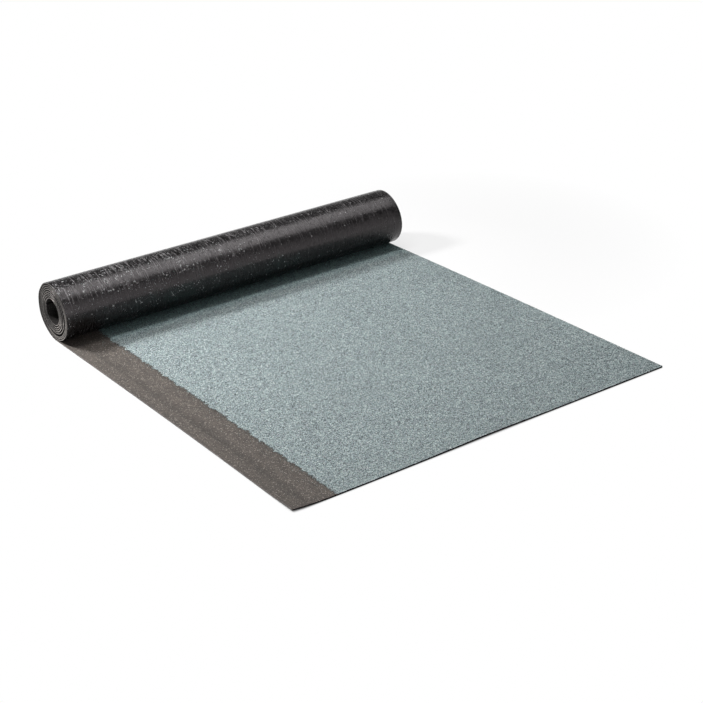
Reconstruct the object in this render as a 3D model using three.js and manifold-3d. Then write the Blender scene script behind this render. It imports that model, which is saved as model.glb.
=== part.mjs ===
// Partly unrolled roll of mineral-surfaced roofing felt.
//
// The felt is one sheet: a coated bitumen base with slate granules rolled into its top face, except
// along a bare lap strip, the selvedge, on its left edge. The free end lies flat on the floor with its
// granules up. The rest is wound up behind it, granules inwards, round an open bore.
//
// The roll is one turned solid. The turns show on its two ends, where the air between them is cut in.
//
// Millimetres, +Z up. X runs across the sheet, along the roll. -Y is the cut end, +Y is the roll.
// The origin is the middle of the footprint, on the floor.

import * as THREE from "three";
import { mergeVertices } from "three/addons/utils/BufferGeometryUtils.js";
import Module from "manifold-3d";

// Driving dimensions.
const SHEET_WIDTH = 1000; // across the sheet, which is also the roll's length
const SELVEDGE_WIDTH = 100; // bare strip that the next sheet laps over
const BASE_THICKNESS = 3.3; // coated base, without granules
const GRANULE_DEPTH = 0.9; // how far the granules stand above the base
const FLAT_RUN = 1058; // flat length, from the cut end to the line under the roll's axis
const BORE_DIAMETER = 58; // open middle of the roll, at its narrowest
const TURNS = 8.3; // times the sheet goes round
const TURN_GAP = 1; // air between the granules and the turn inside them
const TURNS_DEPTH = 30; // how far in from each end the turns stand apart
const LOOSE_TURNS = 3; // whole outer turns that have sprung away from the rest
const LOOSE_GAP = 3; // how far they stand off at the front of the roll
const LOOSE_FALLOFF = 4; // how quickly they close up again above and below: more is quicker
const SIDE_SPREAD = 1.055; // width over height of the roll, which has settled under its own weight
const SEGMENTS_PER_TURN = 48; // flats that stand for one turn

// What follows from them. The outer turn drops one pitch as it goes round, so the turned roll, which
// keeps one radius, has its axis a quarter of a pitch below that of the turns.
const sheetThickness = BASE_THICKNESS + GRANULE_DEPTH;
const turnPitch = sheetThickness + TURN_GAP;
const turnsAxisHeight = BORE_DIAMETER / 2 + sheetThickness + turnPitch * TURNS;
const rollRadius = turnsAxisHeight - turnPitch / 4;
const FOREMOST_TURN = 0.75; // where the outer turn faces the cut end

// The sheet's underside where it is wound, seen from the roll's end: x is the distance behind the axis
// and y is the height. It starts on the floor, under the axis, and goes round by the back.
class WoundUnderside extends THREE.Curve {
  getPoint(share, target = new THREE.Vector2()) {
    const turn = share * TURNS;
    const angle = 2 * Math.PI * turn;
    const radius = turnsAxisHeight - turnPitch * turn;
    const facingFront = Math.max(0, -Math.sin(angle));
    const sprungAway = turn < LOOSE_TURNS ? LOOSE_GAP * facingFront ** LOOSE_FALLOFF : 0;
    return target.set(
      SIDE_SPREAD * radius * Math.sin(angle) - sprungAway,
      turnsAxisHeight - radius * Math.cos(angle),
    );
  }
}

// One face of the wound sheet, a given depth above its underside, from one turn to another.
function woundFace(depth, firstTurn, lastTurn) {
  const underside = new WoundUnderside();
  const steps = Math.round(Math.abs(lastTurn - firstTurn) * SEGMENTS_PER_TURN);
  const points = [];
  for (let step = 0; step <= steps; step++) {
    const share = (firstTurn + ((lastTurn - firstTurn) * step) / steps) / TURNS;
    const along = underside.getTangent(share);
    const inwards = new THREE.Vector2(-along.y, along.x);
    points.push(underside.getPoint(share).addScaledVector(inwards, depth));
  }
  return points;
}

// The air at a roll's end: the wedge between the flat sheet and the roll, the gap that winds in
// between the turns, and the bore with the sheet's inner end in it.
function airSection(thickness) {
  const topFaces = woundFace(thickness, 0, TURNS);
  const undersides = woundFace(0, TURNS, FOREMOST_TURN);
  const foremost = undersides.at(-1);
  return new THREE.Shape([...topFaces, ...undersides, new THREE.Vector2(foremost.x, thickness)]);
}

const wasm = await Module();
wasm.setup();

function solidOf(geometry) {
  geometry.deleteAttribute("normal");
  geometry.deleteAttribute("uv");
  const merged = mergeVertices(geometry);
  return new wasm.Manifold(
    new wasm.Mesh({
      numProp: 3,
      vertProperties: merged.getAttribute("position").array,
      triVerts: new Uint32Array(merged.index.array),
    }),
  );
}

function geometryOf(solid) {
  const mesh = solid.getMesh();
  const geometry = new THREE.BufferGeometry();
  geometry.setAttribute("position", new THREE.BufferAttribute(mesh.vertProperties, 3));
  geometry.setIndex(new THREE.BufferAttribute(mesh.triVerts, 1));
  return geometry.toNonIndexed();
}

// A section carried across the sheet, from one distance from the left edge to another.
function acrossSheet(section, from, to) {
  const geometry = new THREE.ExtrudeGeometry(section, { depth: to - from, bevelEnabled: false });
  const sectionToPart = new THREE.Matrix4().makeBasis(
    new THREE.Vector3(0, 1, 0),
    new THREE.Vector3(0, 0, 1),
    new THREE.Vector3(1, 0, 0),
  );
  return solidOf(geometry.applyMatrix4(sectionToPart).translate(from - SHEET_WIDTH / 2, 0, 0));
}

// The turned body with its bore, standing on the floor.
function turnedRoll() {
  const profile = [
    new THREE.Vector2(BORE_DIAMETER / 2, -SHEET_WIDTH / 2),
    new THREE.Vector2(rollRadius, -SHEET_WIDTH / 2),
    new THREE.Vector2(rollRadius, SHEET_WIDTH / 2),
    new THREE.Vector2(BORE_DIAMETER / 2, SHEET_WIDTH / 2),
    new THREE.Vector2(BORE_DIAMETER / 2, -SHEET_WIDTH / 2),
  ];
  const geometry = new THREE.LatheGeometry(profile, SEGMENTS_PER_TURN);
  geometry.rotateZ(-Math.PI / 2).scale(1, SIDE_SPREAD, 1).translate(0, 0, rollRadius);
  return solidOf(geometry);
}

// A flat layer of the sheet, from the cut end to under the roll's axis.
function flatLayer(thickness, leftMargin) {
  const width = SHEET_WIDTH - leftMargin;
  const geometry = new THREE.BoxGeometry(width, FLAT_RUN, thickness);
  return solidOf(geometry.translate(leftMargin / 2, -FLAT_RUN / 2, thickness / 2));
}

// The left end is selvedge, so its turns are thinner and the air between them is wider.
function feltSheet() {
  const leftAir = acrossSheet(airSection(BASE_THICKNESS), 0, TURNS_DEPTH);
  const rightAir = acrossSheet(airSection(sheetThickness), SHEET_WIDTH - TURNS_DEPTH, SHEET_WIDTH);
  const solid = turnedRoll()
    .subtract(leftAir)
    .subtract(rightAir)
    .add(flatLayer(BASE_THICKNESS, 0))
    .add(flatLayer(sheetThickness, SELVEDGE_WIDTH));
  const geometry = geometryOf(solid);
  geometry.computeVertexNormals();

  const blueGreenSlate = new THREE.MeshStandardMaterial({
    color: 0x92a0a1,
    roughness: 0.95,
    metalness: 0,
  });
  const sheet = new THREE.Mesh(geometry, blueGreenSlate);
  sheet.name = "roofing_felt";

  geometry.computeBoundingBox();
  const { min, max } = geometry.boundingBox;
  sheet.position.set(0, -(min.y + max.y) / 2, -min.z);
  return sheet;
}

const roll = new THREE.Group();
roll.add(feltSheet());

export default roll;
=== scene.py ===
# A partly unrolled roll of mineral-surfaced roofing felt, dressed round its solid. Metres, +Z up.
# X runs across the sheet, -Y is the cut end and +Y is the roll.
import math

import bpy
import numpy as np
from mathutils import Matrix, Vector


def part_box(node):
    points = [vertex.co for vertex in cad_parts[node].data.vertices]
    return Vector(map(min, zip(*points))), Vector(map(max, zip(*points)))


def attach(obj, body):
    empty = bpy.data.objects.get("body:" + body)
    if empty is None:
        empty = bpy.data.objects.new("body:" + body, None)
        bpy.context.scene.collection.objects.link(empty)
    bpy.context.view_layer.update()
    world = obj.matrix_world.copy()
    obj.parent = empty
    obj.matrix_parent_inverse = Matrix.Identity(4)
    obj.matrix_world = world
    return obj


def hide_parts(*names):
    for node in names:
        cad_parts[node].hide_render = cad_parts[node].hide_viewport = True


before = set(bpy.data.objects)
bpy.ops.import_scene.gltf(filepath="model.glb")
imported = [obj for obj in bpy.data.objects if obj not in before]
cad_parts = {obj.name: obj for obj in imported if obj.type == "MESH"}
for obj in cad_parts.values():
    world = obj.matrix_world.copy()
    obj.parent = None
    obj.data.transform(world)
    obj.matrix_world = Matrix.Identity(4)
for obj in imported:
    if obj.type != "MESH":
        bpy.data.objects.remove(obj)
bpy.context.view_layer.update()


# The camera stands beyond the selvedge's corner at head height and looks down along the sheet.
# It leans a little to its left.
camera_place = (-1.859, -2.8195, 1.556)
camera_turn = math.radians(-33.94)
camera_dip = math.radians(24.88)
camera_lean = math.radians(-2.92)

camera_data = bpy.data.cameras.new("camera")
camera_data.lens = 80.2
camera_data.sensor_width = 36
camera_data.clip_end = 50
camera = bpy.data.objects.new("camera", camera_data)
bpy.context.collection.objects.link(camera)
camera.matrix_world = (
    Matrix.Translation(camera_place)
    @ Matrix.Rotation(camera_turn, 4, "Z")
    @ Matrix.Rotation(math.pi / 2 - camera_dip, 4, "X")
    @ Matrix.Rotation(camera_lean, 4, "Z")
)
bpy.context.scene.camera = camera
bpy.context.scene.view_settings.view_transform = "Standard"


# The felt lies on a plain white studio floor. The overhead lamp only lights, the softbox beside it only
# shows in the roll's film, and the key lamp, behind to the left, does both and throws the roll's shadow
# forward. A white card by the camera and the backdrop's foot are the bright parts of a dim room.
floor_size = 14
floor_drop = 0.0002
floor_white = (0.95, 0.95, 0.95, 1)

# Beside the roll's granule end the floor is held a little below white, so that its shadow shows there.
glow_near, glow_far = 0.72, 1.0
glow_middle = (0.6, 0.35, 0)
glow_starts, glow_ends = 0.25, 0.65
covered_reach = 0.015
covered_full, covered_ends = 0.1, 0.85

lamps = {
    "overhead": {
        "at": (0.05, 0.43, 2.10),
        "aim": (0.05, 0.42, 0.1),
        "size": (1.6, 0.42),
        "spread": 180,
        "watts": 22.0,
        "shines": True,
        "mirrored": False,
    },
    "softbox": {
        "at": (1.10, 0.33, 2.45),
        "aim": (1.10, 0.33, 0.0),
        "size": (2.6, 1.85),
        "spread": 180,
        "watts": 60,
        "shines": False,
        "mirrored": True,
    },
    "key": {
        "at": (-1.40, 1.69, 1.90),
        "aim": (-0.45, 0.15, 0.0),
        "size": (0.5, 0.5),
        "spread": 105,
        "watts": 28.0,
        "shines": True,
        "mirrored": True,
    },
}
room_colour = (1, 0.98, 0.987, 1)
room_fill = 0.20
room_dim, room_bright = 0.10, 1.9
backdrop_share = 0.18
card_direction = (-0.20, -0.97, 0.08)
card_ends, card_full = 0.58, 0.82
backdrop_ends = 0.37
backdrop_sides_end, backdrop_full = 0.15, 0.6
white = (1, 1, 1, 1)


def start_nodes(material):
    material.use_nodes = True
    material.node_tree.nodes.clear()
    return material.node_tree


def add_node(tree, kind, values=(), **settings):
    """A node with its settings, and with a link or a plain value at each socket named."""
    node = tree.nodes.new(kind)
    for name, value in settings.items():
        setattr(node, name, value)
    for socket, value in dict(values).items():
        if isinstance(value, bpy.types.NodeSocket):
            tree.links.new(value, node.inputs[socket])
        else:
            node.inputs[socket].default_value = value
    return node


def calc(tree, operation, first, second=0.0):
    return add_node(tree, "ShaderNodeMath", {0: first, 1: second}, operation=operation).outputs[0]


def times(tree, first, second):
    return calc(tree, "MULTIPLY", first, second)


def vector_calc(tree, operation, first, second=(0, 0, 0), gives="Vector"):
    values = {0: first, 1: second}
    return add_node(tree, "ShaderNodeVectorMath", values, operation=operation).outputs[gives]


def part_of(tree, vector, axis):
    return add_node(tree, "ShaderNodeSeparateXYZ", {"Vector": vector}).outputs[axis]


def remap(tree, value, from_low, from_high, to_low, to_high, kind="LINEAR"):
    values = {"Value": value, 1: from_low, 2: from_high, 3: to_low, 4: to_high}
    return add_node(tree, "ShaderNodeMapRange", values, interpolation_type=kind).outputs[0]


def choose(tree, mask, off, on):
    """One figure where the mask is 0 and another where it is 1."""
    return remap(tree, mask, 0, 1, off, on)


bpy.ops.object.select_all(action="DESELECT")
bpy.ops.mesh.primitive_plane_add(size=floor_size, location=(0, 0, -floor_drop))
floor = bpy.context.object
floor.name = "floor"
floor_paint = bpy.data.materials.new("floor_paint")
tree = start_nodes(floor_paint)
matt = add_node(tree, "ShaderNodeBsdfDiffuse", {"Color": floor_white})
bright = add_node(tree, "ShaderNodeEmission", {"Color": white, "Strength": 1})
path = add_node(tree, "ShaderNodeLightPath")
places = add_node(tree, "ShaderNodeTexCoord").outputs["Object"]
away = vector_calc(tree, "DISTANCE", places, glow_middle, "Value")
glow = remap(tree, away, glow_starts, glow_ends, glow_near, glow_far)
openness = add_node(tree, "ShaderNodeAmbientOcclusion", {"Distance": covered_reach}).outputs["AO"]
glow = times(tree, glow, remap(tree, openness, covered_full, covered_ends, 0, 1))
seen = calc(tree, "MAXIMUM", path.outputs["Is Camera Ray"], path.outputs["Is Glossy Ray"])
paint = add_node(
    tree, "ShaderNodeMixShader", {0: times(tree, seen, glow), 1: matt.outputs[0], 2: bright.outputs[0]}
)
add_node(tree, "ShaderNodeOutputMaterial", {"Surface": paint.outputs[0]})
floor.data.materials.append(floor_paint)

for name, lamp in lamps.items():
    lamp_data = bpy.data.lights.new(name, "AREA")
    lamp_data.shape = "RECTANGLE"
    lamp_data.size, lamp_data.size_y = lamp["size"]
    lamp_data.energy = lamp["watts"]
    lamp_data.spread = math.radians(lamp["spread"])
    lamp_object = bpy.data.objects.new(name, lamp_data)
    bpy.context.collection.objects.link(lamp_object)
    lamp_object.visible_diffuse = lamp["shines"]
    lamp_object.visible_glossy = lamp["mirrored"]
    lamp_object.location = lamp["at"]
    towards_lamp = Vector(lamp["at"]) - Vector(lamp["aim"])
    lamp_object.rotation_euler = towards_lamp.to_track_quat("Z", "Y").to_euler()

world = bpy.data.worlds.new("studio")
bpy.context.scene.world = world
world.use_nodes = True
tree = world.node_tree
tree.nodes.clear()
path = add_node(tree, "ShaderNodeLightPath")
direction = add_node(tree, "ShaderNodeTexCoord").outputs["Generated"]
towards = add_node(tree, "ShaderNodeSeparateXYZ", {"Vector": direction})
near_card = vector_calc(tree, "DOT_PRODUCT", direction, card_direction, "Value")
card = remap(tree, near_card, card_ends, card_full, 0, 1, "SMOOTHSTEP")
backdrop = times(
    tree,
    remap(tree, towards.outputs["Z"], 0, backdrop_ends, 1, 0, "SMOOTHSTEP"),
    remap(tree, towards.outputs["Y"], backdrop_sides_end, backdrop_full, 0, 1, "SMOOTHSTEP"),
)
bright_part = calc(tree, "MAXIMUM", card, times(tree, backdrop, backdrop_share))
reflected = choose(tree, bright_part, room_dim, room_bright)
strength = choose(tree, path.outputs["Is Glossy Ray"], room_fill, reflected)
room = add_node(tree, "ShaderNodeBackground", {"Color": room_colour, "Strength": strength})
beyond = add_node(tree, "ShaderNodeBackground", {"Color": white, "Strength": 1})
sky = add_node(
    tree,
    "ShaderNodeMixShader",
    {0: path.outputs["Is Camera Ray"], 1: room.outputs[0], 2: beyond.outputs[0]},
)
add_node(tree, "ShaderNodeOutputWorld", {"Surface": sky.outputs[0]})


# The coated base is one continuous sheet: a bitumen coating on both sides of a carrier, with a film
# burnt on its underside. It is modelled flat, at its real thickness, and then wound up.
base_thickness = 0.0033
granule_depth = 0.0009
selvedge_width = 0.100
turns = 8.3
turn_gap = 0.001
loose_turns = 3
loose_gap = 0.003
loose_falloff = 4
side_spread = 1.055
base_columns = 36
row_spacing = 0.005
edge_rounding = 0.0006
edge_segments = 3
smooth_angle = math.radians(40)

low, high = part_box("roofing_felt")
sheet_width = high.x - low.x
left_edge, right_edge = low.x, high.x
granule_line = left_edge + selvedge_width
roll_radius = high.z / 2
roll_axis = high.y - roll_radius * side_spread
flat_run = roll_axis - low.y
turn_pitch = base_thickness + granule_depth + turn_gap
turns_axis_height = roll_radius + turn_pitch / 4

# Lying flat, the sheet bows a little towards its granule edge, and most at its two sides: each has how
# far it bows, and how near the roll its belly is. The knife has wandered at the cut end, whose corner by
# the selvedge is pulled back, and that end lifts off the floor there and in its middle.
sheet_bow = 0.0012
side_bows = {left_edge: (0.0023, 0.75), right_edge: (0.0020, 1.3)}
bow_width = 0.07
front_bow = 0.0014
knife_wander, knife_wave, knife_phase = 0.0010, 6.1, 1.1
knife_width = 0.03
corner_pull, corner_width = 0.0028, 0.02
lifts = {0.0: (0.0019, 0.12), left_edge: (0.0034, 0.05)}
lift_width = 0.06

# No granules fill the roll at the selvedge's end, so there the loose turns press together in front,
# settle below and are drawn back behind. Low at the back they swell out, and above that they sink in.
# The outer turns are set in a little, and the inner ones run a little out of true.
slack = turn_pitch - base_thickness
quarter_turn = 0.25
pressed_by, pressed_width = 0.85, 0.07
settled_by = 0.0011
drawn_by, drawn_turn, drawn_falloff = 0.0006, 0.07, 1.5
swollen_by, swollen_at, swollen_over = 0.0034, 0.18, 0.065
sunken_by, sunken_at, sunken_over = 0.0024, 0.37, 0.045
swollen_width = 0.05
set_in, set_in_over = 0.0012, 0.5
inner_lead, inner_over = 0.2, 0.5
inner_drift, inner_wave = 0.0013, (1.9, 1, 4.3)
spacing_drift, spacing_wave = 0.00022, (2.3, 0.7, 5.1)
winding_steps = 20001
small_step = 1e-4


def wavering(turn, wave):
    """A wave along the turns that doesn't repeat: how fast it beats, and how far and fast that sways."""
    beat, sway, sway_beat = wave
    return np.sin(beat * turn + sway * np.sin(sway_beat * turn))


def fading(distance, reach):
    """1 at no distance and next to nothing past twice the reach."""
    return np.exp(-((distance / reach) ** 2))


def underside(turn):
    """The wound underside, as distance behind the axis and height, and how far it faces forward."""
    angle = 2 * np.pi * turn
    radius = turns_axis_height - turn_pitch * turn
    radius = radius + spacing_drift * wavering(turn, spacing_wave) * np.minimum(turn, 1)
    facing_front = np.maximum(0, -np.sin(angle)) ** loose_falloff * (turn < loose_turns)
    behind = side_spread * radius * np.sin(angle) - loose_gap * facing_front
    return np.stack([behind, turns_axis_height - radius * np.cos(angle)], -1), facing_front


turn_steps = np.linspace(0, turns, winding_steps)
curve, _ = underside(turn_steps)
curve_length = np.concatenate([[0], np.cumsum(np.linalg.norm(np.diff(curve, axis=0), axis=1))])
sheet_length = flat_run + curve_length[-1]


def places_of(piece):
    places = np.empty(len(piece.data.vertices) * 3, np.float32)
    piece.data.vertices.foreach_get("co", places)
    return places.reshape(-1, 3).astype(float)


def put_places(piece, places):
    piece.data.vertices.foreach_set("co", places.astype(np.float32).ravel())
    piece.data.update()


def keep_flat_places(piece):
    """Keeps where each point is on the flat sheet, so that patterns follow it round the roll."""
    attribute = piece.data.attributes.new("flat", "FLOAT_VECTOR", "POINT")
    attribute.data.foreach_set("vector", places_of(piece).astype(np.float32).ravel())


def on_the_floor(across, along, depth):
    """Where the flat part lies: how far behind the roll's axis, how high, and how far aside."""
    run = np.clip(along / flat_run, 0, 1)
    bow = sheet_bow * np.sin(np.pi * run)
    for edge, (by, lean) in side_bows.items():
        bow += by * fading(across - edge, bow_width) * np.sin(np.pi * run**lean)
    knife = knife_wander * np.sin(knife_wave * across + knife_phase)
    knife = knife + corner_pull * fading(across - left_edge, corner_width)
    knife = (knife - front_bow * np.cos(np.pi * across / sheet_width)) * np.exp(-along / knife_width)
    lift = sum(rise * fading(across - place, width) for place, (rise, width) in lifts.items())
    return along - flat_run + knife, depth + lift * fading(along, lift_width), bow


def in_the_roll(across, along, depth):
    """Where the wound part lies: how far behind the roll's axis, how high, and how far aside."""
    turn = np.interp(np.maximum(along - flat_run, 0), curve_length, turn_steps)
    here, facing_front = underside(turn)
    ahead, _ = underside(turn + small_step)
    heading = (ahead - here) / np.linalg.norm(ahead - here, axis=1, keepdims=True)
    pressed = pressed_by * slack * np.clip(loose_turns - quarter_turn - turn, 0, loose_turns)
    pressed = pressed * np.sqrt(facing_front)
    facing_down = np.maximum(0, np.cos(2 * np.pi * turn)) ** 2 * (turn < loose_turns + quarter_turn)
    settled = settled_by * np.clip(turn, 0, loose_turns) * facing_down
    near_end = fading(across - left_edge, pressed_width)
    slipped = (pressed - settled) * near_end
    inner_part = np.clip((turn - loose_turns + inner_lead) / inner_over, 0, 1)
    uneven = inner_drift * wavering(turn, inner_wave) * inner_part
    aside = uneven + set_in * (1 - inner_part) * np.clip(turn / set_in_over, 0, 1)
    towards_back = np.maximum(0, np.sin(2 * np.pi * (turn + drawn_turn))) ** drawn_falloff
    drawn = drawn_by * turn * towards_back * near_end
    swollen = swollen_by * fading(turn % 1 - swollen_at, swollen_over)
    sunken = sunken_by * fading(turn % 1 - sunken_at, sunken_over)
    out = (swollen - sunken) * (1 - turn / turns) * fading(across - left_edge, swollen_width)
    behind = here[:, 0] - heading[:, 1] * (depth + slipped) + drawn + out * np.sin(2 * np.pi * turn)
    height = here[:, 1] + heading[:, 0] * (depth + slipped) - out * np.cos(2 * np.pi * turn)
    return behind, height, aside


def wind_up(piece):
    """Takes a piece from the flat sheet, X across and Y from the cut end, to where it lies."""
    across, along, depth = places_of(piece).T
    both = zip(on_the_floor(across, along, depth), in_the_roll(across, along, depth))
    behind, height, aside = (np.where(along < flat_run, flat, wound) for flat, wound in both)
    put_places(piece, np.stack([across + aside, behind + roll_axis, height], -1))


def flat_strip(name, left, right, start, end, columns, rows):
    bpy.ops.object.select_all(action="DESELECT")
    bpy.ops.mesh.primitive_grid_add(x_subdivisions=columns, y_subdivisions=rows, size=1)
    strip = bpy.context.object
    strip.name = strip.data.name = name
    bpy.ops.object.mode_set(mode="EDIT")
    bpy.ops.transform.resize(value=(right - left, end - start, 1))
    bpy.ops.transform.translate(value=((left + right) / 2, (start + end) / 2, 0))
    bpy.ops.object.mode_set(mode="OBJECT")
    return strip


def finish_with(piece, kind, **settings):
    bpy.ops.object.select_all(action="DESELECT")
    piece.select_set(True)
    bpy.context.view_layer.objects.active = piece
    modifier = piece.modifiers.new(kind.lower(), kind)
    for name, value in settings.items():
        setattr(modifier, name, value)
    bpy.ops.object.modifier_apply(modifier=modifier.name)


base_rows = round(sheet_length / row_spacing)
base = flat_strip("felt_base", left_edge, right_edge, 0, sheet_length, base_columns, base_rows)
finish_with(base, "SOLIDIFY", thickness=base_thickness, offset=1)
finish_with(
    base,
    "BEVEL",
    width=edge_rounding,
    segments=edge_segments,
    limit_method="ANGLE",
    angle_limit=math.radians(60),
)


def new_group(name, takes, gives, fill):
    """A node group. fill(tree, taken) adds its nodes, and gives what it puts out by name."""
    group = bpy.data.node_groups.new(name, "ShaderNodeTree")
    for direction, sockets in (("INPUT", takes), ("OUTPUT", gives)):
        for socket_name, kind in sockets.items():
            group.interface.new_socket(socket_name, in_out=direction, socket_type="NodeSocket" + kind)
    entry = group.nodes.new("NodeGroupInput")
    leave = group.nodes.new("NodeGroupOutput")
    for socket_name, given in fill(group, entry.outputs).items():
        group.links.new(given, leave.inputs[socket_name])
    return group


def place_group(tree, group, **values):
    return add_node(tree, "ShaderNodeGroup", values, node_tree=group)


def stretched(tree, places, stretch, shift=(0, 0, 0)):
    """Places to draw a pattern at. A low figure draws it out that way."""
    values = {"Vector": places, "Scale": stretch, "Location": shift}
    return add_node(tree, "ShaderNodeMapping", values).outputs[0]


def flat_places(tree, stretch=(1, 1, 1), shift=(0, 0, 0)):
    """Places on the flat sheet."""
    places = add_node(tree, "ShaderNodeAttribute", attribute_name="flat").outputs["Vector"]
    return stretched(tree, places, stretch, shift)


def noise(tree, vector, scale, detail=2, roughness=0.5):
    values = {"Vector": vector, "Scale": scale, "Detail": detail, "Roughness": roughness}
    return add_node(tree, "ShaderNodeTexNoise", values).outputs["Fac"]


noise_low, noise_middle, noise_high = 0.3, 0.5, 0.7


def vary(tree, pattern, by):
    """A noise pattern as figures about 1, up to so much lower and higher."""
    return remap(tree, pattern, noise_low, noise_high, 1 - by, 1 + by)


def bend_places(tree, places, scale, reach):
    """Places moved by three random figures about 0, to bend a pattern with."""
    pushes = add_node(tree, "ShaderNodeTexNoise", {"Vector": places, "Scale": scale, "Detail": 1})
    pushes = vector_calc(tree, "SUBTRACT", pushes.outputs["Color"], (noise_middle,) * 3)
    values = {0: pushes, 1: (reach, reach, 0), 2: places}
    return add_node(tree, "ShaderNodeVectorMath", values, operation="MULTIPLY_ADD").outputs[0]


def cells_of(tree, vector, scale):
    """Random cells: how far a place is from its cell's middle, and two lots that the cell has drawn."""
    cells = add_node(tree, "ShaderNodeTexVoronoi", {"Vector": vector, "Scale": scale})
    lots = add_node(tree, "ShaderNodeSeparateColor", {"Color": cells.outputs["Color"]})
    return cells.outputs["Distance"], lots.outputs[0], lots.outputs[1]


def blend_colours(tree, factor, first, second, how="MIX"):
    values = {0: factor, 6: first, 7: second}
    return add_node(tree, "ShaderNodeMix", values, data_type="RGBA", blend_type=how).outputs[2]


def tinted(tree, colour, red, green, blue):
    tint = add_node(tree, "ShaderNodeCombineColor", {0: red, 1: green, 2: blue}).outputs[0]
    return blend_colours(tree, 1.0, colour, tint, "MULTIPLY")


def bump(tree, height, depth, strength=1.0, under=None):
    values = {"Height": height, "Distance": depth, "Strength": strength}
    if under is not None:
        values["Normal"] = under
    return add_node(tree, "ShaderNodeBump", values).outputs[0]


def finish_material(tree, colour, roughness, normal, **extra):
    values = {"Base Color": colour, "Roughness": roughness, "Normal": normal, **extra}
    surface = add_node(tree, "ShaderNodeBsdfPrincipled", values)
    add_node(tree, "ShaderNodeOutputMaterial", {"Surface": surface.outputs[0]})


# Fine grit is bedded in the bare coating and in the sheet's made edges: pale and dark grains.
grain_full, grain_ends = 0.25, 0.55


def draw_grit(tree, taken):
    from_grain, *lots = cells_of(tree, taken["Places"], taken["Scale"])
    grain = remap(tree, from_grain, grain_full, grain_ends, 1, 0)
    drawn = [calc(tree, "LESS_THAN", lot, taken["Share"]) for lot in lots]
    return {side: times(tree, is_drawn, grain) for side, is_drawn in zip(("Pale", "Dark"), drawn)}


grit = new_group(
    "grit",
    takes={"Places": "Vector", "Scale": "Float", "Share": "Float"},
    gives={"Pale": "Float", "Dark": "Float"},
    fill=draw_grit,
)

# The rollers leave faint bands along the coating. Its grit is fine, with some coarser grains in it.
band_depth, drift_depth = 0.12, 0.08
fine_grit = {"Scale": 760.0, "Share": 0.32}
coarse_grit = {"Scale": 400.0, "Share": 0.13}
fine_paleness = 0.45
grit_relief = 0.7
coating_smooth, coating_rough = 0.72, 0.9


def draw_coating(tree, taken):
    places = taken["Places"]
    bands = noise(tree, stretched(tree, places, (1, 0.03, 1)), scale=70, detail=3)
    clouds = noise(tree, stretched(tree, places, (1, 0.4, 1)), scale=105, detail=5, roughness=0.75)
    drifts = noise(tree, places, scale=14, detail=3)
    bent = bend_places(tree, places, scale=700, reach=0.0012)
    fine = place_group(tree, grit, Places=bent, **fine_grit).outputs
    coarse = place_group(tree, grit, Places=bent, **coarse_grit).outputs
    mottling = times(tree, remap(tree, clouds, noise_low, noise_high, -1, 1), taken["Mottle"])
    lightness = times(tree, calc(tree, "ADD", mottling, 1), vary(tree, bands, band_depth))
    lightness = times(tree, lightness, vary(tree, drifts, drift_depth))
    colour = tinted(tree, taken["Colour"], lightness, lightness, lightness)
    dark = calc(tree, "MAXIMUM", fine["Dark"], coarse["Dark"])
    colour = blend_colours(tree, dark, colour, taken["Dark"])
    pale = calc(tree, "MAXIMUM", times(tree, fine["Pale"], fine_paleness), coarse["Pale"])
    return {
        "Colour": blend_colours(tree, pale, colour, taken["Pale"]),
        "Roughness": remap(tree, clouds, noise_low, noise_high, coating_smooth, coating_rough),
        "Relief": calc(tree, "ADD", noise(tree, places, scale=900), times(tree, fine["Pale"], grit_relief)),
    }


coating = new_group(
    "coating",
    takes={"Places": "Vector", "Colour": "Color", "Pale": "Color", "Dark": "Color", "Mottle": "Float"},
    gives={"Colour": "Color", "Roughness": "Float", "Relief": "Float"},
    fill=draw_coating,
)


def gritty_coating(name, colour, pale_grit, dark_grit, mottle, shading=None, **extra):
    material = bpy.data.materials.new(name)
    tree = start_nodes(material)
    places = flat_places(tree)
    tones = {"Colour": colour, "Pale": pale_grit, "Dark": dark_grit, "Mottle": mottle}
    given = place_group(tree, coating, Places=places, **tones).outputs
    mixed = given["Colour"]
    if shading is not None:
        shade = shading(tree, places)
        mixed = tinted(tree, mixed, shade, shade, shade)
    normal = bump(tree, given["Relief"], depth=0.0004, strength=0.7)
    finish_material(tree, mixed, given["Roughness"], normal, **extra)
    return material


# The selvedge took a shallow crease in the works, whose shade is painted as a darker line, and its outer
# strip is a little darker. Next to the granules it is bare bitumen.
crease_from_edge, crease_half_width, crease_shade_tone = 0.0375, 0.011, 0.76
outer_strip, outer_tone, inner_tone = 0.045, 0.88, 0.99
rim_starts, rim_ends, rim_tone = 0.002, 0.012, 0.9
bare_line_width, bare_tone = 0.006, 0.8


def selvedge_shading(tree, places):
    def toned(value, starts, ends, first, last):
        return remap(tree, value, starts, ends, first, last, "SMOOTHSTEP")

    from_edge = calc(tree, "SUBTRACT", part_of(tree, places, "X"), left_edge)
    from_crease = calc(tree, "ABSOLUTE", calc(tree, "SUBTRACT", from_edge, crease_from_edge))
    # Painted shade along the crease.
    crease_shade = toned(from_crease, 0, crease_half_width, crease_shade_tone, 1)
    outer = toned(from_edge, outer_strip, outer_strip + crease_half_width, outer_tone, inner_tone)
    rim = toned(from_edge, rim_starts, rim_ends, rim_tone, 1)
    bare = toned(from_edge, selvedge_width - bare_line_width, selvedge_width, 1, bare_tone)
    return times(tree, times(tree, crease_shade, outer), times(tree, rim, bare))


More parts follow.
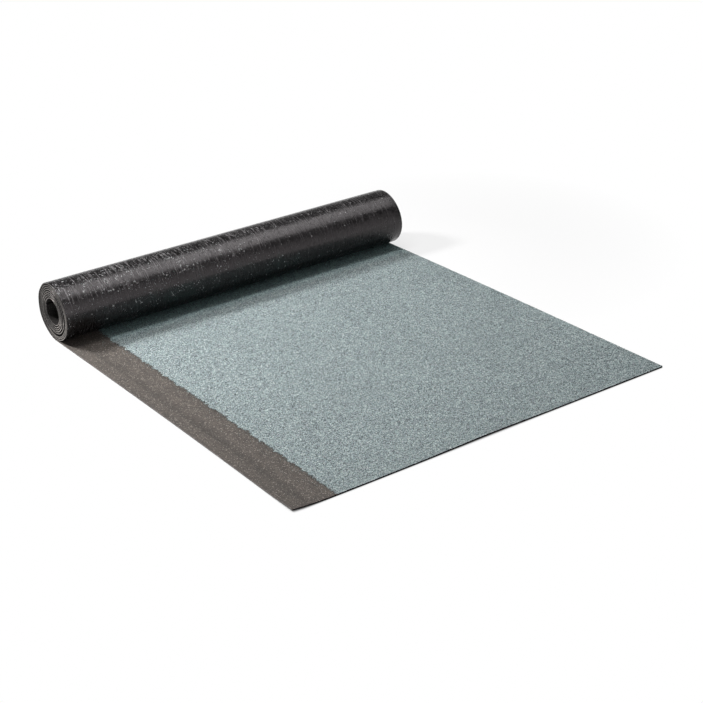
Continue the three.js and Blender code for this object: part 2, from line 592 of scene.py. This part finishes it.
# The film is thin, black and glossy. Winding has drawn fine strokes round it. Flecks, dents and small
# curled scratches lie in drifts on its top and towards the selvedge, and round the patches of granule
# dust in front.
film_black = (0.0022, 0.0020, 0.0021, 1)
film_worn = (0.130, 0.125, 0.127, 1)
slate_dust = (0.008, 0.018, 0.0165, 1)
fleck_white = (0.52, 0.53, 0.53, 1)
film_tint = (1, 0.935, 0.955, 1)
film_shine = 0.44
scuffs_middle, scuffs_reach = (-0.36, flat_run + 0.25, 0), (0.76, 0.088, 1)
front_middle, front_reach = (-0.24, flat_run + 0.334, 0), (0.42, 0.070, 1)
dust_middle, dust_reach = (-0.08, flat_run + 0.372, 0), (0.36, 0.036, 1)
back_ends, top_starts = flat_run + 0.224, flat_run + 0.253
top_ends, front_starts = flat_run + 0.272, flat_run + 0.312
patch_full, patch_ends, patch_ragged = 0.35, 1.0, 0.35
dust_thin, dust_bare, dust_whole = 0.1, 0.44, 0.56
back_wear, top_wear = 0.2, 0.5
front_marks, border_marks, calm_marks = 0.85, 3.2, 0.22
sparse_marks, scatter_starts, scatter_full = 0.2, 0.38, 0.62

# The marks themselves. A pair of figures is for where marks are fewest and where they are most.
fine_share, broad_share = 0.35, 0.65
stroke_starts, stroke_full, unworn_strokes = 0.52, 0.58, 0.14
fleck_limits, fleck_edge = (0.69, 0.575), 0.02
ridge_width, ridge_starts, ridge_full = 0.02, 0.5, 0.56
bubble_grain, bubble_reach, bubble_shares = 330, 0.40, (0.08, 0.36)
speck_starts, speck_full, speck_wear = 0.54, 0.62, (0.05, 0.45)
ridge_height, speck_height, fleck_height = 0.6, 0.12, 0.3
dust_cover, fleck_cover = 0.8, 0.9
film_smooth, stroke_rough, fleck_rough = 0.06, 0.38, 0.35


def patch(tree, places, middle, reach):
    """1 in the middle of a place on the sheet and 0 beyond its reach, with an uneven edge."""
    share = vector_calc(tree, "DIVIDE", vector_calc(tree, "SUBTRACT", places, middle), reach)
    away = vector_calc(tree, "LENGTH", share, gives="Value")
    drifts = noise(tree, places, scale=26, detail=4, roughness=0.6)
    uneven = remap(tree, drifts, noise_low, noise_high, -patch_ragged, patch_ragged)
    return remap(tree, calc(tree, "ADD", away, uneven), patch_full, patch_ends, 1, 0, "SMOOTHSTEP")


def film_dust(tree, places):
    drifts = noise(tree, flat_places(tree, stretch=(1, 0.6, 1)), scale=13, detail=3)
    drifts = remap(tree, drifts, dust_bare, dust_whole, dust_thin, 1)
    return times(tree, patch(tree, places, dust_middle, dust_reach), drifts)


def film_wear(tree, places, dusty):
    """How worn by strokes each place is, and how busy it is with marks."""
    along = part_of(tree, places, "Y")
    on_top = remap(tree, along, top_ends, front_starts, top_wear, 0, "SMOOTHSTEP")
    worn = calc(tree, "MAXIMUM", patch(tree, places, scuffs_middle, scuffs_reach), on_top)
    worn = times(tree, worn, remap(tree, along, back_ends, top_starts, back_wear, 1))
    drifts = noise(tree, places, scale=34, detail=3, roughness=0.6)
    scattered = remap(tree, drifts, scatter_starts, scatter_full, sparse_marks, 1)
    in_front = times(tree, patch(tree, places, front_middle, front_reach), front_marks)
    busy = choose(tree, calc(tree, "MAXIMUM", worn, in_front), calm_marks, 1)
    busy = times(tree, scattered, busy)
    border = times(tree, times(tree, dusty, calc(tree, "SUBTRACT", 1.0, dusty)), border_marks)
    return worn, calc(tree, "MAXIMUM", busy, times(tree, border, scattered))


def film_strokes(tree):
    fine_places = flat_places(tree, stretch=(1, 0.12, 1))
    fine = noise(tree, fine_places, scale=620, detail=3, roughness=0.65)
    broad_places = flat_places(tree, stretch=(1, 0.06, 1), shift=(3.1, 0, 0))
    broad = noise(tree, broad_places, scale=300, detail=3, roughness=0.6)
    return calc(tree, "ADD", times(tree, fine, fine_share), times(tree, broad, broad_share))


def film_flecks(tree, busy):
    """White flecks, and the curled ridges of small scratches next to them."""
    torn_places = bend_places(tree, flat_places(tree, stretch=(1, 0.7, 1)), scale=400, reach=0.0045)
    torn = noise(tree, torn_places, scale=230, detail=3, roughness=0.68)
    over = calc(tree, "SUBTRACT", torn, choose(tree, busy, *fleck_limits))
    flecks = remap(tree, over, 0, fleck_edge, 0, 1)
    curls = noise(tree, torn_places, scale=110)
    from_ridge = calc(tree, "ABSOLUTE", calc(tree, "SUBTRACT", curls, noise_middle))
    ridges = remap(tree, from_ridge, 0, ridge_width, 1, 0)
    return flecks, times(tree, ridges, remap(tree, torn, ridge_starts, ridge_full, 0, 1))


def film_blisters(tree, places, busy, ridges):
    from_bubble, lot, _ = cells_of(tree, places, bubble_grain)
    domes = remap(tree, from_bubble, 0, bubble_reach, 1, 0, "SMOOTHSTEP")
    is_bubble = calc(tree, "LESS_THAN", lot, choose(tree, busy, *bubble_shares))
    return calc(tree, "ADD", times(tree, domes, is_bubble), times(tree, ridges, ridge_height))


def burnt_film():
    material = bpy.data.materials.new("underside_film")
    tree = start_nodes(material)
    places = flat_places(tree)
    dusty = film_dust(tree, places)
    worn, busy = film_wear(tree, places, dusty)
    strokes = film_strokes(tree)
    is_stroke = remap(tree, strokes, stroke_starts, stroke_full, 0, 1)
    flecks, ridges = film_flecks(tree, busy)
    specks = noise(tree, places, scale=560, roughness=0.6)
    specks = remap(tree, specks, speck_starts, speck_full, 0, 1)
    wear = times(tree, is_stroke, choose(tree, worn, unworn_strokes, 1.0))
    wear = calc(tree, "MAXIMUM", wear, times(tree, specks, choose(tree, busy, *speck_wear)))
    colour = blend_colours(tree, wear, film_black, film_worn)
    colour = blend_colours(tree, times(tree, dusty, dust_cover), colour, slate_dust)
    colour = blend_colours(tree, times(tree, flecks, fleck_cover), colour, fleck_white)
    roughness = choose(tree, is_stroke, film_smooth, stroke_rough)
    roughness = calc(tree, "ADD", roughness, times(tree, flecks, fleck_rough))
    sag = noise(tree, flat_places(tree, stretch=(1, 0.5, 1)), scale=24)
    grooves = calc(tree, "ADD", strokes, times(tree, flecks, fleck_height))
    blisters = film_blisters(tree, places, busy, ridges)
    blisters = calc(tree, "ADD", blisters, times(tree, specks, speck_height))
    normal = bump(tree, sag, depth=0.0008, strength=0.5)
    normal = bump(tree, grooves, depth=0.0014, under=normal)
    normal = bump(tree, blisters, depth=0.0005, under=normal)
    extra = {"Specular IOR Level": film_shine, "Specular Tint": film_tint}
    finish_material(tree, colour, roughness, normal, **extra)
    return material


# The roll's end is painted lighter low down in front and darker at its back, its last turn most there:
# painted light and shade. Its outer turns are dustier than its inner ones. It is darker higher up in front
# and low at the back, most towards the bore. A painted highlight lies near its top, where the rims glint.
# The carrier shows as a paler line along the middle of each turn's edge.
foot_direction, foot_painted_light = (0, -0.7, -0.7), (0.46, 0.92)
foot_light_reaches = 0.055
back_direction, back_starts, back_full = (0, 0.94, -0.34), 0.62, 0.96
back_shade_keeps, last_turn_shade_keeps = 0.45, 0.5
upper_front_direction, upper_front_starts, upper_front_full = (0, -0.90, 0.43), 0.76, 0.96
upper_front_rings, upper_front_keeps = (0.058, 0.068), (0.38, 0.80)
low_direction, low_starts, low_full = (0, 0.50, -0.86), 0.58, 0.92
low_rings, low_keeps = (0.050, 0.064), (0.48, 1)
painted_glint_direction, painted_glint_edge, painted_glint_middle = (0, -0.24, 0.97), 0.955, 0.995
painted_glint_gains = 1.6
carrier_full, carrier_ends = 0.0002, 0.0010
inner_carrier, outer_carrier = (0.04, 2.72), (0.62, 1.35)
outer_turns_end = flat_run + np.interp(loose_turns, turn_steps, curve_length)
last_turn_starts = flat_run + np.interp(turns - 1, turn_steps, curve_length)


def edge_dust_and_painted_light(tree, places):
    def facing(vector, direction):
        return vector_calc(tree, "DOT_PRODUCT", vector, direction, "Value")

    standing = add_node(tree, "ShaderNodeTexCoord").outputs["Object"]
    offset = vector_calc(tree, "SUBTRACT", standing, (0, roll_axis, turns_axis_height))
    offset = vector_calc(tree, "MULTIPLY", offset, (0, 1, 1))
    unit = vector_calc(tree, "NORMALIZE", offset)
    from_middle = vector_calc(tree, "LENGTH", offset, gives="Value")
    along = part_of(tree, places, "Y")
    is_wound = calc(tree, "GREATER_THAN", along, flat_run)
    is_last = calc(tree, "GREATER_THAN", along, last_turn_starts)
    is_inner = calc(tree, "GREATER_THAN", along, outer_turns_end)

    def on_side(direction, starts, full):
        reached = remap(tree, facing(unit, direction), starts, full, 0, 1, "SMOOTHSTEP")
        return times(tree, is_wound, reached)

    # Lighter low down in front and darker at the back: painted light and shade.
    dust_and_painted_light = remap(tree, facing(offset, foot_direction), -foot_light_reaches, foot_light_reaches, *foot_painted_light)
    shaded_back = on_side(back_direction, back_starts, back_full)
    dust_and_painted_light = times(tree, dust_and_painted_light, choose(tree, shaded_back, 1, back_shade_keeps))
    dust_and_painted_light = times(tree, dust_and_painted_light, choose(tree, times(tree, is_last, shaded_back), 1, last_turn_shade_keeps))
    # Darker higher up in front and low at the back, most towards the bore.
    upper_front = remap(tree, from_middle, *upper_front_rings, *upper_front_keeps)
    low = remap(tree, from_middle, *low_rings, *low_keeps)
    # The last of these lightens a strip near the top: a painted highlight where the rims glint.
    for direction, starts, full, keeps in (
        (upper_front_direction, upper_front_starts, upper_front_full, upper_front),
        (low_direction, low_starts, low_full, low),
        (painted_glint_direction, painted_glint_edge, painted_glint_middle, painted_glint_gains),
    ):
        dust_and_painted_light = times(tree, dust_and_painted_light, choose(tree, on_side(direction, starts, full), 1, keeps))
    from_carrier = calc(tree, "SUBTRACT", part_of(tree, places, "Z"), base_thickness / 2)
    from_carrier = calc(tree, "ABSOLUTE", from_carrier)
    carrier = remap(tree, from_carrier, carrier_full, carrier_ends, 1, 0, "SMOOTHSTEP")
    inner = choose(tree, carrier, *inner_carrier)
    outer = choose(tree, carrier, *outer_carrier)
    carrier = choose(tree, is_inner, outer, inner)
    return times(tree, dust_and_painted_light, choose(tree, is_wound, 1, carrier))


bare_top = gritty_coating(
    "bare_coating",
    colour=(0.0762, 0.0638, 0.0542, 1),
    pale_grit=(0.38, 0.34, 0.30, 1),
    dark_grit=(0.016, 0.013, 0.012, 1),
    mottle=0.45,
    shading=selvedge_shading,
)
# The inside of the roll is near-black bitumen: partly unweathered coating, and partly painted shade for the
# bore and the gaps between the turns.
fresh_inside_painted_shade = gritty_coating(
    "fresh_coating_painted_shade",
    colour=(0.010, 0.009, 0.0085, 1),
    pale_grit=(0.05, 0.047, 0.044, 1),
    dark_grit=(0.004, 0.004, 0.004, 1),
    mottle=0.3,
    **{"Specular IOR Level": 0.2},
)
fresh_cut = gritty_coating(
    "fresh_cut",
    colour=(0.010, 0.0095, 0.010, 1),
    pale_grit=(0.045, 0.045, 0.045, 1),
    dark_grit=(0.004, 0.004, 0.004, 1),
    mottle=0.2,
    **{"Specular IOR Level": 0.12},
)
dusted_edge_painted_light = gritty_coating(
    "dusted_edge_painted_light",
    colour=(0.163, 0.149, 0.1375, 1),
    pale_grit=(0.34, 0.32, 0.30, 1),
    dark_grit=(0.045, 0.040, 0.036, 1),
    mottle=0.25,
    shading=edge_dust_and_painted_light,
)

leaning, level = 0.3, 0.9
for finish in (bare_top, burnt_film(), fresh_cut, dusted_edge_painted_light, fresh_inside_painted_shade):
    base.data.materials.append(finish)
TOP, FILM, CUT, DUSTED_PAINTED_LIGHT, INSIDE = range(5)
for face in base.data.polygons:
    is_wound = face.center.y > flat_run
    # Faces turned up in the roll, their rounded edges too, take the near-black inside coating: painted shade
    # between the turns.
    if is_wound and face.normal.z > leaning:
        face.material_index = INSIDE
    elif face.normal.z > level:
        face.material_index = TOP
    elif face.normal.z < -leaning:
        face.material_index = FILM
    elif abs(face.normal.y) > abs(face.normal.x):
        face.material_index = CUT
    else:
        face.material_index = DUSTED_PAINTED_LIGHT
keep_flat_places(base)

# The map that the finish is painted through gives most room to the outer turn, the selvedge and the
# sheet's edges. Its rows are in pixels of height, and its boxes in shares of a row.
map_pixels = 1024
map_margin = 4
film_row, selvedge_row, hidden_row, inside_row, edge_row = 430, 130, 120, 100, 10
wide_box, narrow_box = 0.5, 0.25
outer_turn_ends = flat_run + 0.50
selvedge_shows_to = granule_line + 0.03
edge_runs = 3


def put_on_map(mesh, map_places):
    mesh.uv_layers.new(name="OFBake").uv.foreach_set("vector", map_places.astype(np.float32).ravel())


def lay_on_map(piece, rows):
    """Lays faces out in rows on the piece's own map. A row has its height in pixels and its boxes. A box
    has its faces, its share of the row, and what runs along it and up it: figures and their two ends."""
    corner_points = np.empty(len(piece.data.loops), np.int32)
    piece.data.loops.foreach_get("vertex_index", corner_points)
    corner_counts = np.empty(len(piece.data.polygons), np.int32)
    piece.data.polygons.foreach_get("loop_total", corner_counts)
    corner_faces = np.repeat(np.arange(len(corner_counts)), corner_counts)
    map_places = np.zeros((len(corner_points), 2), np.float32)
    bottom = map_margin
    for height, boxes in rows:
        left = map_margin
        for faces, share, runs_right, runs_up in boxes:
            corners = faces[corner_faces]
            width = share * map_pixels - 2 * map_margin
            sides = ((left, width, runs_right), (bottom, height, runs_up))
            for axis, (start, length, (figures, first, last)) in enumerate(sides):
                shares = (figures[corner_points[corners]] - first) / (last - first)
                map_places[corners, axis] = (start + shares * length) / map_pixels
            left += share * map_pixels
        bottom += height + 2 * map_margin
    put_on_map(piece.data, map_places)


across, along, depth = places_of(base).T
from_outline = np.minimum.reduce([across - left_edge, right_edge - across, along, sheet_length - along])
round_edge = depth + np.sign(depth - base_thickness / 2) * np.minimum(from_outline, 2 * edge_rounding)
slots = np.array([face.material_index for face in base.data.polygons])
centres = np.array([face.center for face in base.data.polygons])
is_flat = centres[:, 1] < flat_run
is_outer = ~is_flat & (centres[:, 1] < outer_turn_ends)
is_selvedge = centres[:, 0] < selvedge_shows_to
whole_width = (across, left_edge, right_edge)
edge_height = (round_edge, -edge_rounding, base_thickness + edge_rounding)
flat_length = (along, 0, flat_run)
wound_length = (along, flat_run, sheet_length)
map_rows = [
    (film_row, [((slots == FILM) & is_outer, 1, whole_width, (along, flat_run, outer_turn_ends))]),
    (selvedge_row, [((slots == TOP) & is_selvedge, 1, flat_length, (across, left_edge, selvedge_shows_to))]),
    (
        hidden_row,
        [
            ((slots == FILM) & is_flat, wide_box, whole_width, flat_length),
            ((slots == FILM) & ~is_flat & ~is_outer, narrow_box, whole_width, wound_length),
            ((slots == TOP) & ~is_selvedge, narrow_box, whole_width, flat_length),
        ],
    ),
    (inside_row, [(slots == INSIDE, 1, whole_width, wound_length)]),
    (edge_row, [((slots == CUT) & is_flat, 1, whole_width, edge_height)]),
    (edge_row, [((slots == CUT) & ~is_flat, 1, whole_width, edge_height)]),
]
run_ends = [0, *np.linspace(flat_run, sheet_length, edge_runs + 1)]
for is_side in (centres[:, 0] < 0, centres[:, 0] > 0):
    for first, last in zip(run_ends, run_ends[1:]):
        in_run = (slots == DUSTED_PAINTED_LIGHT) & is_side & (centres[:, 1] > first) & (centres[:, 1] <= last)
        map_rows.append((edge_row, [(in_run, 1, (along, first, last), edge_height)]))
lay_on_map(base, map_rows)
wind_up(base)
bpy.ops.object.shade_smooth_by_angle(angle=smooth_angle)
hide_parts("roofing_felt")
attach(base, "root")


# The slate granules are pressed into the hot coating over all but the selvedge. This is their bed,
# with the ragged line where they stop. On the wound part it shows only at the ends and in the bore.
bed_depth = 0.0003
coat_depth = 0.0006
line_setback = 0.0046
line_spacing = 0.0022
ragged_by, ragged_most = 0.0026, 3
ragged_waves = ((0.7, 1), (0.6, 3), (0.35, 8))
ragged_falloff = 8
coat_columns = 26
column_crowding = 1.9
relief_depth = 0.00016
slate_grain = 590.0
clump_depth, shade_depth = 0.09, 0.04
dark_roughness, pale_roughness = 0.95, 0.78
granules_row, under_row = 900, 16
mostly = 0.5

# Next to the roll the granules are painted less red: a painted tint for the roll's shadow on them.
shadow_tint_starts, shadow_tint_full = 0.115, 0.055
open_red, shadow_red = 0.98, 0.79

rng = np.random.default_rng(seed=11)


def smooth_noise(count, reach):
    """Random figures about 0, of about unit size, that change over a reach of so many steps."""
    spread = np.hanning(2 * reach + 1)
    rough = rng.standard_normal(count + 2 * reach)
    return np.convolve(rough, spread / np.sqrt((spread**2).sum()), "valid")


slate_tones = [
    (0.00, (0.022, 0.028, 0.032)),
    (0.11, (0.120, 0.150, 0.160)),
    (0.27, (0.245, 0.305, 0.312)),
    (0.50, (0.320, 0.385, 0.380)),
    (0.70, (0.290, 0.290, 0.315)),
    (0.80, (0.410, 0.485, 0.480)),
    (0.93, (0.620, 0.675, 0.660)),
]


def draw_slate(tree, taken):
    """Each granule draws its tone by lot. The sheet is a little lighter and darker from place to place."""
    places, lot = taken["Places"], taken["Lot"]
    ramp = add_node(tree, "ShaderNodeValToRGB", {"Fac": lot})
    ramp.color_ramp.interpolation = "CONSTANT"
    for place, tone in slate_tones:
        stop = ramp.color_ramp.elements[0] if place == 0 else ramp.color_ramp.elements.new(place)
        stop.position = place
        stop.color = (*tone, 1)
    ramp.color_ramp.elements.remove(ramp.color_ramp.elements[-1])
    clumps = vary(tree, noise(tree, places, scale=160), clump_depth)
    shades = vary(tree, noise(tree, places, scale=4.5, detail=3), shade_depth)
    lightness = times(tree, clumps, shades)
    along = part_of(tree, places, "Y")
    # Less red next to the roll: painted shade tint.
    redness = remap(tree, along, flat_run - shadow_tint_starts, flat_run - shadow_tint_full, open_red, shadow_red)
    red = times(tree, lightness, redness)
    return {
        "Colour": tinted(tree, ramp.outputs["Color"], red, lightness, lightness),
        "Roughness": choose(tree, lot, dark_roughness, pale_roughness),
    }


slate = new_group(
    "slate",
    takes={"Places": "Vector", "Lot": "Float"},
    gives={"Colour": "Color", "Roughness": "Float"},
    fill=draw_slate,
)


def slate_material(name, lot_of):
    """Slate granules. lot_of gives the lot that each granule draws its tone from, and its relief."""
    material = bpy.data.materials.new(name)
    tree = start_nodes(material)
    places = flat_places(tree)
    lot, relief = lot_of(tree, places)
    given = place_group(tree, slate, Places=places, Lot=lot).outputs
    normal = bump(tree, relief, depth=0.0004, strength=0.6)
    finish_material(tree, given["Colour"], given["Roughness"], normal)
    return material


def bedded_lots(tree, places):
    from_granule, lot, _ = cells_of(tree, places, slate_grain)
    return lot, calc(tree, "SUBTRACT", lot, from_granule)


bedded_slate = slate_material("bedded_slate", bedded_lots)


def bed_of_granules(name, start, end, columns, rows):
    bed = flat_strip(name, granule_line, right_edge, start, end, columns, rows)
    finish_with(bed, "SOLIDIFY", thickness=bed_depth + coat_depth, offset=1)
    places = places_of(bed)
    share = (places[:, 0] - granule_line) / (right_edge - granule_line)
    across = granule_line + (right_edge - granule_line) * share**column_crowding
    row = np.round((places[:, 1] - start) / (end - start) * rows).astype(int)
    ragged = ragged_by * sum(part * smooth_noise(rows + 1, reach) for part, reach in ragged_waves)
    ragged = np.clip(ragged[row], -ragged_most * ragged_by, ragged_most * ragged_by)
    across += (line_setback + ragged) * (1 - share) ** ragged_falloff
    on_top = places[:, 2] > bed_depth
    relief = relief_depth * rng.standard_normal(len(places)) * on_top
    depth = places[:, 2] + base_thickness - bed_depth + relief
    put_places(bed, np.stack([across, places[:, 1], depth], -1))
    for finish in (bedded_slate, fresh_cut, dusted_edge_painted_light):
        bed.data.materials.append(finish)
    for face in bed.data.polygons:
        if abs(face.normal.y) > level:
            face.material_index = 1
        elif face.normal.x > level:
            face.material_index = 2
    keep_flat_places(bed)
    across, along, depth = places_of(bed).T
    facing = np.array([face.normal for face in bed.data.polygons])
    is_top, is_under = facing[:, 2] > mostly, facing[:, 2] < -mostly
    is_side = ~is_top & ~is_under
    whole_length, whole_width = (along, start, end), (across, granule_line, right_edge)
    whole_depth = (depth, base_thickness - bed_depth, base_thickness + coat_depth)
    map_rows = [
        (granules_row, [(is_top, 1, whole_length, whole_width)]),
        (under_row, [(is_under, 1, whole_length, whole_width)]),
    ]
    for axis, side_length in enumerate((whole_length, whole_width)):
        for way in (-1, 1):
            faces = is_side & (way * facing[:, axis] > mostly)
            map_rows.append((edge_row, [(faces, 1, side_length, whole_depth)]))
    lay_on_map(bed, map_rows)
    wind_up(bed)
    bpy.ops.object.shade_smooth_by_angle(angle=smooth_angle)
    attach(bed, "root")


flat_rows = round(flat_run / line_spacing)
wound_rows = round((sheet_length - flat_run) / row_spacing)
bed_of_granules("slate_bed_flat", 0, flat_run, coat_columns, flat_rows)
bed_of_granules("slate_bed_wound", flat_run, sheet_length, coat_columns // 2, wound_rows)


# The largest granules stand out of the bed as loose-edged chips. One chip is modelled, and each copy
# is squashed, turned and tilted by lot.
chip_sides = 3
chip_height = 0.8
chip_sizes, small_lean = (0.0006, 0.0011), 1.5
chip_unevenness = 0.45
chip_width, width_range = 0.65, 0.35
chip_rise, rise_range = 0.75, 0.4
chip_tilt, tilt_most = 0.32, 1.5
chip_depths = (-0.0001, 0.0002)
strip_count = 4
chips_per_strip = 29000
chip_margin = 0.0016
chip_on_map = 0.45


def slate_chip():
    """One chip's corners and faces. An upper and a lower face share each place on its map, so the upper
    ones, which show, come last."""
    bpy.ops.object.select_all(action="DESELECT")
    bpy.ops.mesh.primitive_cone_add(
        vertices=chip_sides, radius1=1, radius2=0, depth=chip_height, end_fill_type="NOTHING"
    )
    chip = bpy.context.object
    bpy.ops.object.mode_set(mode="EDIT")
    bpy.ops.mesh.select_all(action="SELECT")
    bpy.ops.transform.translate(value=(0, 0, chip_height / 2))
    bpy.ops.mesh.duplicate()
    bpy.ops.transform.resize(value=(1, 1, -1), center_override=(0, 0, 0))
    bpy.ops.mesh.select_all(action="SELECT")
    bpy.ops.mesh.remove_doubles(threshold=chip_height / 100)
    bpy.ops.mesh.normals_make_consistent(inside=False)
    bpy.ops.object.mode_set(mode="OBJECT")
    corners = places_of(chip)
    faces = np.array([list(face.vertices) for face in chip.data.polygons])
    bpy.data.objects.remove(chip)
    return corners, faces[::-1]


chip_corners, chip_faces = slate_chip()


def unit_lots(count):
    return rng.random((count, 1))


def scatter_chips(name, across, along, depth, sizes, material):
    """Chips at places on the flat sheet, as one mesh. Each keeps its own lot for its tone."""
    count = len(across)
    smallest, largest = sizes
    shapes = np.repeat(chip_corners[None], count, 0)
    shapes = shapes * (1 + chip_unevenness * (rng.random(shapes.shape) - 0.5))
    grow = smallest + (largest - smallest) * unit_lots(count) ** small_lean
    widths = chip_width + width_range * unit_lots(count)
    rises = chip_rise + rise_range * unit_lots(count)
    squash = np.concatenate([np.ones((count, 1)), widths, rises], 1)
    shapes = shapes * (grow * squash)[:, None, :]
    turn = 2 * np.pi * rng.random(count)
    tilt = chip_tilt * rng.standard_normal((count, 2)).clip(-tilt_most, tilt_most)
    x, y, z = shapes[..., 0], shapes[..., 1], shapes[..., 2]
    z = z + x * tilt[:, :1] + y * tilt[:, 1:]
    cosine, sine = np.cos(turn)[:, None], np.sin(turn)[:, None]
    x, y = x * cosine - y * sine, x * sine + y * cosine
    places = np.stack([x + across[:, None], y + along[:, None], z + depth[:, None]], -1).reshape(-1, 3)
    faces = chip_faces[None] + len(chip_corners) * np.arange(count)[:, None, None]
    mesh = bpy.data.meshes.new(name)
    mesh.from_pydata(places, [], faces.reshape(-1, 3))
    chips = bpy.data.objects.new(name, mesh)
    bpy.context.collection.objects.link(chips)
    lots = mesh.attributes.new("lot", "FLOAT", "POINT")
    lots.data.foreach_set("value", np.repeat(rng.random(count), len(chip_corners)).astype(np.float32))
    cells = math.ceil(math.sqrt(count))
    cell = np.stack([np.arange(count) % cells, np.arange(count) // cells], -1) + 0.5
    map_places = (cell[:, None] + chip_on_map * chip_corners[None, :, :2]) / cells
    put_on_map(mesh, map_places.reshape(-1, 2)[faces.ravel()])
    mesh.materials.append(material)
    keep_flat_places(chips)
    wind_up(chips)
    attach(chips, "root")


def own_lots(tree, places):
    lot = add_node(tree, "ShaderNodeAttribute", attribute_name="lot").outputs["Fac"]
    return lot, noise(tree, places, scale=2500, detail=1)


chip_slate = slate_material("chip_slate", own_lots)
chips_start = granule_line + line_setback
strip_edges = np.linspace(chips_start - chip_margin, right_edge - chip_margin, strip_count + 1)
for strip in range(strip_count):
    across = rng.uniform(strip_edges[strip], strip_edges[strip + 1], chips_per_strip)
    along = rng.uniform(chip_margin, flat_run - chip_margin, chips_per_strip)
    depth = base_thickness + coat_depth + rng.uniform(*chip_depths, chips_per_strip)
    scatter_chips(f"slate_chips_{strip + 1}", across, along, depth, chip_sizes, chip_slate)


# Loose granules have strayed a little way on to the selvedge, and some are stuck to the roll's film,
# in drifts towards its selvedge end.
loose_margin = 0.004
stray_count = 420
stray_reach, stray_most = 0.010, 0.9 * selvedge_width
stray_depth = base_thickness + 0.0002
stuck_count = 300
stuck_sizes = (0.0004, 0.0010)
stuck_depth = -0.0001
stuck_along = (0.02, 0.45)
drift_count = 9
drift_corners = ((left_edge + 0.03, 0.08), (0.22, 0.40))
drift_spread = (0.055, 0.035)

across = chips_start - rng.exponential(stray_reach, stray_count).clip(0, stray_most)
along = rng.uniform(loose_margin, flat_run - loose_margin, stray_count)
depth = np.full(stray_count, stray_depth)
scatter_chips("stray_granules", across, along, depth, chip_sizes, chip_slate)
drift_middles = rng.uniform(*drift_corners, (drift_count, 2))
chosen = rng.integers(0, drift_count, stuck_count)
stuck = drift_middles[chosen] + rng.normal(0, drift_spread, (stuck_count, 2))
across = stuck[:, 0].clip(left_edge + loose_margin, right_edge - loose_margin)
along = flat_run + stuck[:, 1].clip(*stuck_along)
depth = np.full(stuck_count, stuck_depth)
scatter_chips("stuck_granules", across, along, depth, stuck_sizes, chip_slate)
